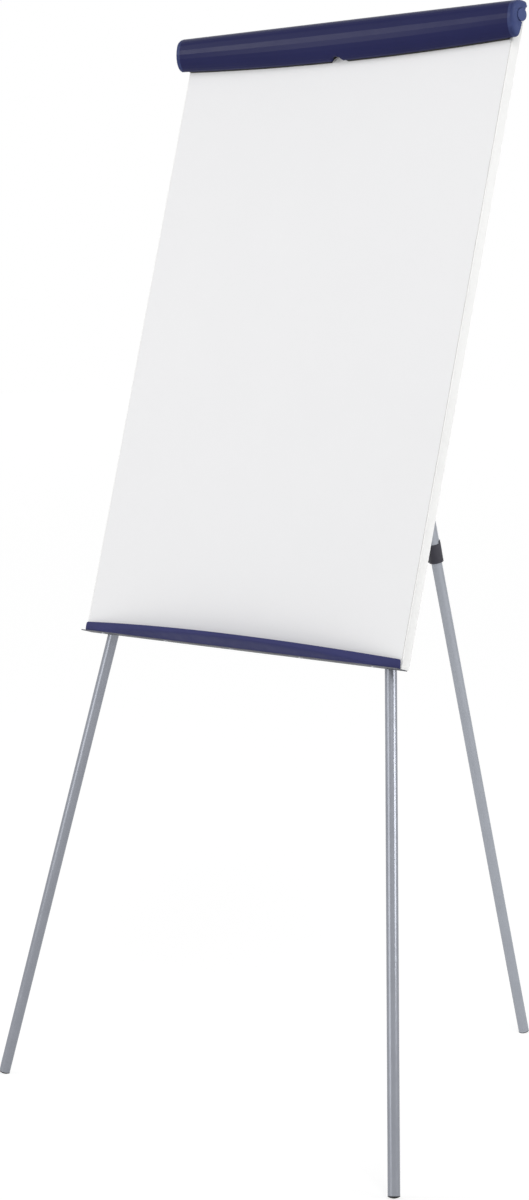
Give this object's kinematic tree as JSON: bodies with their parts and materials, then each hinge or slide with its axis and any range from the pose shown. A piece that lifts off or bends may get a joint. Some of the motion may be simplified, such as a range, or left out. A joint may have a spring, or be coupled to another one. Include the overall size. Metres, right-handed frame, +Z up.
{
  "type": "flipchart easel",
  "caption": "Free-standing flipchart easel: leaning drywipe board with a lifting pad clamp bar, a bowed pen tray, fold-back front legs and a telescopic rear leg.",
  "frame": {"origin": "on the floor, midway between the front feet and the rear foot, on the plane of symmetry", "axes": "+X to the viewer's right, +Y to the back, +Z up; the board faces -Y"},
  "size_m": [0.8984, 0.8299, 1.7104],
  "materials": {
    "enamel_white": "glossy drywipe enamel",
    "backing": "grey fibreboard",
    "trim_white": "satin",
    "grey_steel": "satin grey",
    "tray_blue": "fine-grained blue",
    "rail_aluminium": "anodised",
    "charcoal_metal": "satin",
    "zinc": "zinc plated",
    "navy": "satin navy",
    "cap_blue": "satin blue",
    "charcoal_plastic": "matt",
    "rubber_black": "matt",
    "silver_tube": "silver lacquer"
  },
  "bodies": {
    "board": {"writing_sheet": "enamel_white", "backing_board": "backing", "side_trim_left": "trim_white", "side_trim_right": "trim_white", "bottom_rail": "grey_steel", "pen_tray": "tray_blue", "tray_screws": "zinc", "top_rail": "rail_aluminium", "clamp_bracket_left": "charcoal_metal", "clamp_bracket_right": "charcoal_metal", "clamp_bracket_screws": "zinc", "pivot_button_left": "cap_blue", "pivot_button_right": "cap_blue", "leg_bracket_left": "grey_steel", "leg_bracket_right": "grey_steel", "leg_bracket_rivets": "zinc", "leg_pin_left": "zinc", "leg_pin_right": "zinc", "rear_bracket": "charcoal_plastic", "rear_bracket_screws": "zinc", "rear_hinge_pin": "zinc"},
    "clamp": {"clamp_bar": "navy", "clamp_cap_left": "cap_blue", "clamp_cap_right": "cap_blue", "clamp_grip": "rubber_black"},
    "peg_left": {"pad_peg_left": "charcoal_plastic"},
    "peg_right": {"pad_peg_right": "charcoal_plastic"},
    "leg_left": {"leg_knuckle_left": "charcoal_plastic", "leg_tube_left": "silver_tube", "leg_foot_left": "rubber_black"},
    "leg_right": {"leg_knuckle_right": "charcoal_plastic", "leg_tube_right": "silver_tube", "leg_foot_right": "rubber_black"},
    "rear_leg": {"rear_knuckle": "charcoal_plastic", "rear_outer_tube": "silver_tube", "rear_collar": "charcoal_plastic", "lever_pin": "zinc"},
    "rear_lever": {"rear_lever": "charcoal_plastic"},
    "rear_slide": {"rear_inner_tube": "silver_tube", "rear_bush": "charcoal_plastic", "rear_foot": "rubber_black"}
  },
  "joints": [
    {"name": "clamp_lift", "type": "hinge", "parent": "board", "child": "clamp", "pos_m": [0, -0.06376, 1.68806], "axis": [-1, 0, 0], "range_deg": [0, 60]},
    {"name": "peg_left_slide", "type": "slide", "parent": "board", "child": "peg_left", "axis": [1, 0, 0], "range_m": [-0.16, 0.06]},
    {"name": "peg_right_slide", "type": "slide", "parent": "board", "child": "peg_right", "axis": [1, 0, 0], "range_m": [-0.06, 0.16]},
    {"name": "leg_left_fold", "type": "hinge", "parent": "board", "child": "leg_left", "pos_m": [-0.3003, -0.26684, 0.77849], "axis": [0.9845, -0.0436, -0.1699], "range_deg": [0, 172]},
    {"name": "leg_right_fold", "type": "hinge", "parent": "board", "child": "leg_right", "pos_m": [0.3003, -0.26684, 0.77849], "axis": [0.9845, 0.0436, 0.1699], "range_deg": [0, 172]},
    {"name": "rear_leg_fold", "type": "hinge", "parent": "board", "child": "rear_leg", "pos_m": [0, -0.04456, 1.59796], "axis": [-1, 0, 0], "range_deg": [0, 28.5]},
    {"name": "rear_lever_flip", "type": "hinge", "parent": "rear_leg", "child": "rear_lever", "pos_m": [-0.0185, 0.16686, 0.85079], "axis": [0, -0.9622, -0.2723], "range_deg": [0, 100]},
    {"name": "rear_leg_extend", "type": "slide", "parent": "rear_leg", "child": "rear_slide", "axis": [0, 0.2723, -0.9622], "range_m": [-0.58, 0]}
  ]
}
